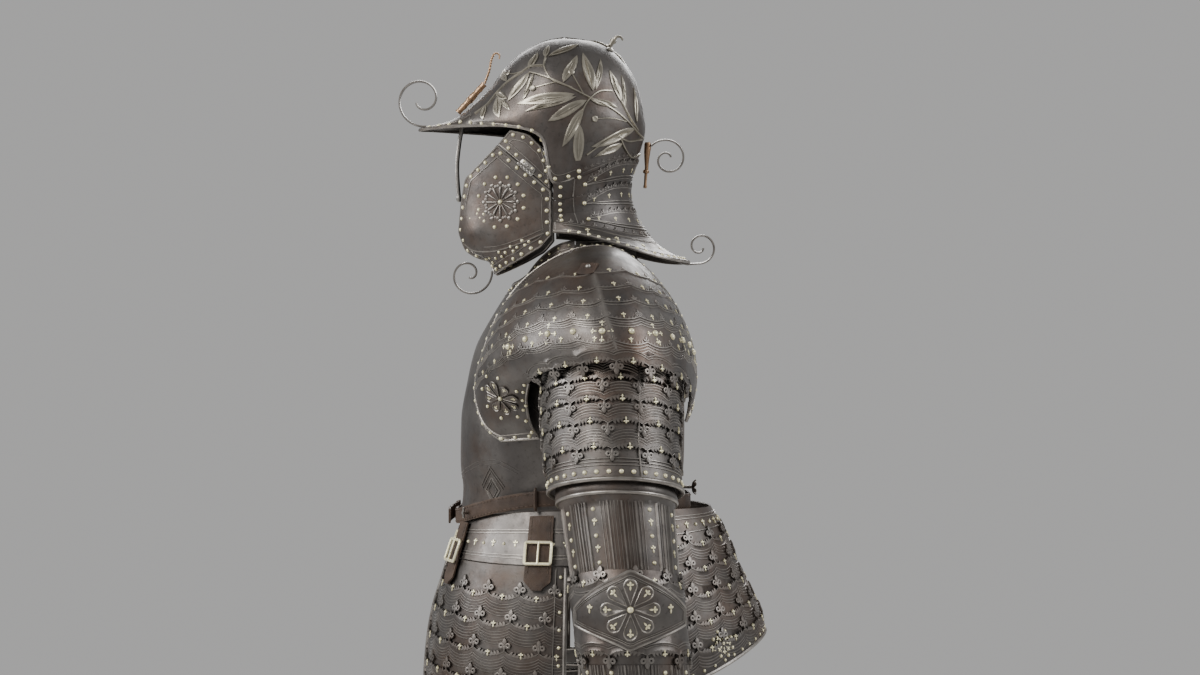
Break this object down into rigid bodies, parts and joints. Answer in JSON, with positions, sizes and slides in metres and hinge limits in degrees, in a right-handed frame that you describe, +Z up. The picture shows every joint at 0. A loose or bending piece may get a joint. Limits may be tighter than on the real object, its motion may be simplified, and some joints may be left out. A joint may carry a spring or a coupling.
{
  "type": "suit of plate armour",
  "caption": "Suit of plate armour with an open-faced burgonet, laminated arms and skirts, borders of brass studs, fleur-shaped edges and hinged cheek plates.",
  "frame": {"origin": "on the wearer's axis at the base of the neck, where the gorget rests and the wearer carries the suit", "axes": "+Z up along the wearer, -Y the way the wearer faces, +X the wearer's left"},
  "size_m": [0.8278, 0.513, 1.794],
  "materials": {
    "dark_steel": "blackened steel browned by age, polished by wear on edges and ridges",
    "bright_steel": "bare worn steel",
    "copper": "aged copper-coloured metal",
    "brass": "pale aged brass",
    "leather": "old brown leather with stitched edges"
  },
  "bodies": {
    "suit": {"skull": "dark_steel", "nape_lame_1": "dark_steel", "nape_lame_2": "dark_steel", "nape_lame_3": "dark_steel", "nape_tail": "dark_steel", "cheek_upper_l": "dark_steel", "cheek_upper_r": "dark_steel", "gorget_front": "dark_steel", "gorget_back": "dark_steel", "breastplate": "dark_steel", "backplate": "dark_steel", "fauld": "dark_steel", "culet": "dark_steel", "tasset_l": "dark_steel", "tasset_r": "dark_steel", "pauldron_l": "dark_steel", "pauldron_r": "dark_steel", "spaudler_l": "dark_steel", "spaudler_r": "dark_steel", "upper_cannon_l": "dark_steel", "upper_cannon_r": "dark_steel", "elbow_lames_l": "dark_steel", "elbow_lames_r": "dark_steel", "lower_cannon_l": "dark_steel", "lower_cannon_r": "dark_steel", "couter_l": "dark_steel", "couter_r": "dark_steel", "gauntlet_l": "dark_steel", "gauntlet_r": "dark_steel", "cuisse_l": "dark_steel", "cuisse_r": "dark_steel", "poleyn_l": "dark_steel", "poleyn_r": "dark_steel", "greave_l": "dark_steel", "greave_r": "dark_steel", "sabaton_l": "dark_steel", "sabaton_r": "dark_steel", "cheek_hinge_l": "bright_steel", "cheek_hinge_r": "bright_steel", "nasal_bar": "bright_steel", "peak_scroll": "bright_steel", "nape_scroll": "bright_steel", "tail_scroll": "bright_steel", "crown_finial": "bright_steel", "nasal_clamp": "copper", "nasal_rod": "copper", "plume_holder": "copper", "tasset_buckle_side_l": "brass", "tasset_buckle_side_r": "brass", "tasset_buckle_front_l": "brass", "tasset_buckle_front_r": "brass", "belt": "leather", "tasset_strap_side_l": "leather", "tasset_strap_side_r": "leather", "tasset_strap_front_l": "leather", "tasset_strap_front_r": "leather"},
    "cheek_left": {"cheek_l": "dark_steel", "chin_scroll": "bright_steel"},
    "cheek_right": {"cheek_r": "dark_steel"}
  },
  "joints": [
    {"name": "cheek_left_hinge", "type": "hinge", "parent": "suit", "child": "cheek_left", "pos_m": [0.09389, -0.08763, 0.12263], "axis": [-0.1308, -0.7406, 0.6591], "range_deg": [0, 75]},
    {"name": "cheek_right_hinge", "type": "hinge", "parent": "suit", "child": "cheek_right", "pos_m": [-0.09389, -0.08763, 0.12263], "axis": [-0.1308, 0.7406, -0.6591], "range_deg": [0, 75]}
  ]
}
